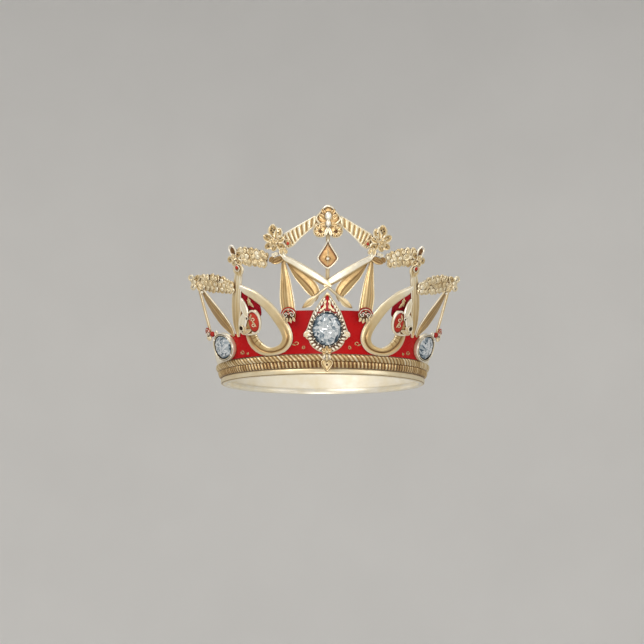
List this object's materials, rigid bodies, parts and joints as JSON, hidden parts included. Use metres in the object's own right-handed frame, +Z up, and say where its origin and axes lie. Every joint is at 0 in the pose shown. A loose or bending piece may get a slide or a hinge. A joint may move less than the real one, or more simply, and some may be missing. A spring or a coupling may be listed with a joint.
{
  "type": "crown",
  "caption": "Round costume crown with a rolled rim, flared red enamel band, openwork of gold blades, loops and flowers, oval stones and a hinged heart charm.",
  "frame": {"origin": "centre of the head opening, in the flat plane of the rim's underside", "axes": "+Z up when worn or standing; -Y is the front with the large stone and the charm; +X is to the viewer's right when facing the front"},
  "size_m": [0.2144, 0.2075, 0.1191],
  "materials": {
    "gold_polished": "polished pale gold plate",
    "gold_satin": "satin gold plate",
    "gold_antique": "antiqued gold plate with dark recesses",
    "enamel_red": "glossy red enamel",
    "crystal": "clear foil-backed faceted glass"
  },
  "bodies": {
    "crown": {"rim_ring": "gold_polished", "band_wall": "gold_satin", "rope_strip_lower": "gold_antique", "rope_strip_upper": "gold_satin", "enamel_front": "enamel_red", "enamel_side_left": "enamel_red", "enamel_side_right": "enamel_red", "enamel_loop_left": "enamel_red", "enamel_loop_right": "enamel_red", "pear_frame": "gold_satin", "pear_enamel": "enamel_red", "centre_setting": "gold_polished", "centre_stone": "crystal", "side_setting_left": "gold_polished", "side_setting_right": "gold_polished", "side_stone_left": "crystal", "side_stone_right": "crystal", "charm_lug": "gold_satin", "charm_pin": "gold_polished", "star_spikes": "gold_polished", "star_leaf_left": "gold_satin", "star_leaf_right": "gold_satin", "arch_ribbon": "gold_polished", "drop_stem": "gold_polished", "centre_drop": "gold_satin", "top_finial": "gold_satin", "top_garland_left": "gold_satin", "top_garland_right": "gold_satin", "upper_flower_left": "gold_satin", "upper_flower_right": "gold_satin", "pillar_left": "gold_satin", "pillar_right": "gold_satin", "pillar_shell_left": "gold_antique", "pillar_shell_right": "gold_antique", "mid_garland_left": "gold_satin", "mid_garland_right": "gold_satin", "mid_flower_left": "gold_satin", "mid_flower_right": "gold_satin", "stem_left": "gold_polished", "stem_right": "gold_polished", "loop_left": "gold_polished", "loop_right": "gold_polished", "scroll_left": "gold_polished", "scroll_right": "gold_polished", "scroll_bead_left": "enamel_red", "scroll_bead_right": "enamel_red", "side_garland_left": "gold_satin", "side_garland_right": "gold_satin", "side_flower_left": "gold_satin", "side_flower_right": "gold_satin", "side_leaf_left": "gold_satin", "side_leaf_right": "gold_satin", "side_rod_left": "gold_satin", "side_rod_right": "gold_satin", "side_shell_left": "gold_antique", "side_shell_right": "gold_antique"},
    "charm": {"heart_charm": "gold_satin"}
  },
  "joints": [
    {"name": "charm_swing", "type": "hinge", "parent": "crown", "child": "charm", "pos_m": [0, -0.0882, 0.0124], "axis": [-1, 0, 0], "range_deg": [-20, 80]}
  ]
}
